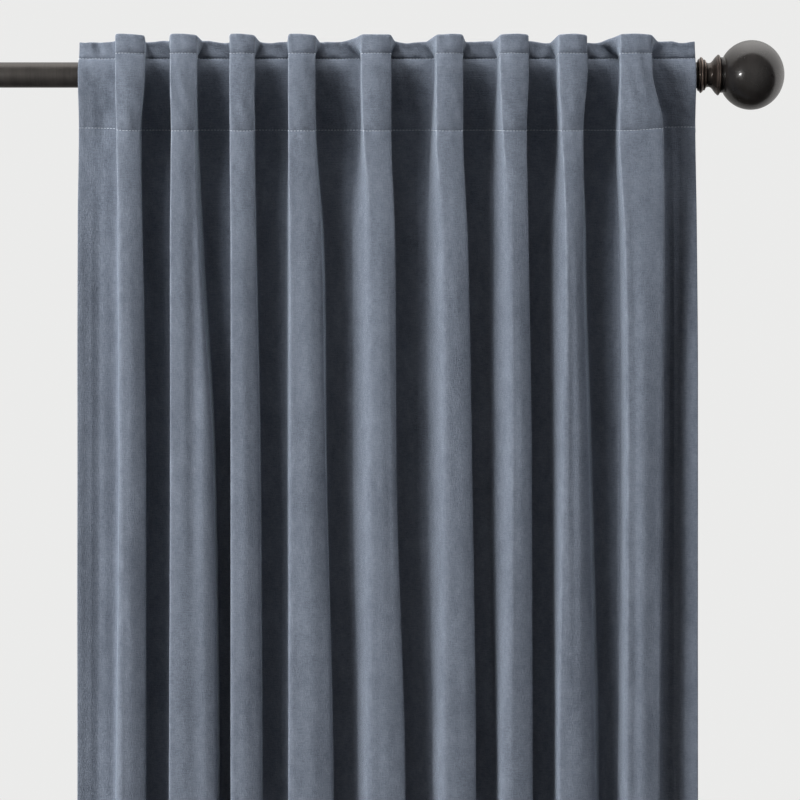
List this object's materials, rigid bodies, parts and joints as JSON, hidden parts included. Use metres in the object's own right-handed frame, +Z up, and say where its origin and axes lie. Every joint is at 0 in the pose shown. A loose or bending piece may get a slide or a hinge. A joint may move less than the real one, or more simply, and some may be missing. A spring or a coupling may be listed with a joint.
{
  "type": "window curtain on a rod",
  "caption": "Blue velvet back-tab curtain panel in deep pleats on a dark telescoping rod with ball finials and wall brackets.",
  "frame": {"origin": "middle of the right-hand wall plate's back face, on the wall", "axes": "+X to the right along the rod seen from the room, +Y into the wall, +Z up"},
  "size_m": [1.2004, 0.1698, 2.134],
  "materials": {
    "velvet": "matte",
    "lining": "matte",
    "rod_bronze": "satin",
    "bracket_bronze": "satin",
    "finial_ball": "gloss",
    "finial_neck": "satin",
    "nylon": "matte",
    "zinc_steel": "satin"
  },
  "bodies": {
    "root": {"rod_outer_tube": "rod_bronze", "rod_tube_bush": "nylon", "rod_plug_right": "nylon", "bracket_plate_right": "bracket_bronze", "bracket_arm_right": "bracket_bronze", "bracket_cradle_right": "bracket_bronze", "wall_screw_upper_right": "zinc_steel", "wall_screw_lower_right": "zinc_steel", "bracket_plate_left": "bracket_bronze", "bracket_arm_left": "bracket_bronze", "bracket_cradle_left": "bracket_bronze", "wall_screw_upper_left": "zinc_steel", "wall_screw_lower_left": "zinc_steel", "face_fold_10": "velvet", "lining_fold_10": "lining", "back_tab_10": "velvet"},
    "tab_01": {"face_fold_01": "velvet", "lining_fold_01": "lining", "back_tab_01": "velvet"},
    "tab_02": {"face_fold_02": "velvet", "lining_fold_02": "lining", "back_tab_02": "velvet"},
    "tab_03": {"face_fold_03": "velvet", "lining_fold_03": "lining", "back_tab_03": "velvet"},
    "tab_04": {"face_fold_04": "velvet", "lining_fold_04": "lining", "back_tab_04": "velvet"},
    "tab_05": {"face_fold_05": "velvet", "lining_fold_05": "lining", "back_tab_05": "velvet"},
    "tab_06": {"face_fold_06": "velvet", "lining_fold_06": "lining", "back_tab_06": "velvet"},
    "tab_07": {"face_fold_07": "velvet", "lining_fold_07": "lining", "back_tab_07": "velvet"},
    "tab_08": {"face_fold_08": "velvet", "lining_fold_08": "lining", "back_tab_08": "velvet"},
    "tab_09": {"face_fold_09": "velvet", "lining_fold_09": "lining", "back_tab_09": "velvet"},
    "inner_rod": {"rod_inner_tube": "rod_bronze", "rod_plug_left": "nylon"},
    "finial_right": {"finial_ball_right": "finial_ball", "finial_neck_right": "finial_neck", "finial_stud_right": "zinc_steel"},
    "finial_left": {"finial_ball_left": "finial_ball", "finial_neck_left": "finial_neck", "finial_stud_left": "zinc_steel"},
    "clamp_right": {"clamp_screw_right": "bracket_bronze"},
    "clamp_left": {"clamp_screw_left": "bracket_bronze"}
  },
  "joints": [
    {"name": "panel_draw", "type": "slide", "parent": "root", "child": "tab_01", "axis": [1, 0, 0], "range_m": [-0.255, 0.225]},
    {"name": "tab_02_slide", "type": "slide", "parent": "root", "child": "tab_02", "axis": [1, 0, 0], "range_m": [-0.2478, 0.2187]},
    {"name": "tab_03_slide", "type": "slide", "parent": "root", "child": "tab_03", "axis": [1, 0, 0], "range_m": [-0.2292, 0.2023]},
    {"name": "tab_04_slide", "type": "slide", "parent": "root", "child": "tab_04", "axis": [1, 0, 0], "range_m": [-0.2006, 0.1771]},
    {"name": "tab_05_slide", "type": "slide", "parent": "root", "child": "tab_05", "axis": [1, 0, 0], "range_m": [-0.1602, 0.1414]},
    {"name": "tab_06_slide", "type": "slide", "parent": "root", "child": "tab_06", "axis": [1, 0, 0], "range_m": [-0.1115, 0.0984]},
    {"name": "tab_07_slide", "type": "slide", "parent": "root", "child": "tab_07", "axis": [1, 0, 0], "range_m": [-0.0689, 0.0609]},
    {"name": "tab_08_slide", "type": "slide", "parent": "root", "child": "tab_08", "axis": [1, 0, 0], "range_m": [-0.0353, 0.0312]},
    {"name": "tab_09_slide", "type": "slide", "parent": "root", "child": "tab_09", "axis": [1, 0, 0], "range_m": [-0.0134, 0.0119]},
    {"name": "rod_extend", "type": "slide", "parent": "root", "child": "inner_rod", "axis": [-1, 0, 0], "range_m": [-0.08, 0.66]},
    {"name": "finial_right_unscrew", "type": "slide", "parent": "root", "child": "finial_right", "axis": [1, 0, 0], "range_m": [0, 0.0135]},
    {"name": "finial_left_unscrew", "type": "slide", "parent": "inner_rod", "child": "finial_left", "axis": [-1, 0, 0], "range_m": [0, 0.0135]},
    {"name": "clamp_right_back_out", "type": "slide", "parent": "root", "child": "clamp_right", "axis": [0, 0, -1], "range_m": [0, 0.006]},
    {"name": "clamp_left_back_out", "type": "slide", "parent": "root", "child": "clamp_left", "axis": [0, 0, -1], "range_m": [0, 0.006]}
  ],
  "couplings": [
    {"joint": "tab_02_slide", "follows": "panel_draw", "ratio": 0.96995},
    {"joint": "tab_03_slide", "follows": "panel_draw", "ratio": 0.89698},
    {"joint": "tab_04_slide", "follows": "panel_draw", "ratio": 0.78486},
    {"joint": "tab_05_slide", "follows": "panel_draw", "ratio": 0.62632},
    {"joint": "tab_06_slide", "follows": "panel_draw", "ratio": 0.43511},
    {"joint": "tab_07_slide", "follows": "panel_draw", "ratio": 0.26837},
    {"joint": "tab_08_slide", "follows": "panel_draw", "ratio": 0.13665},
    {"joint": "tab_09_slide", "follows": "panel_draw", "ratio": 0.050495}
  ]
}
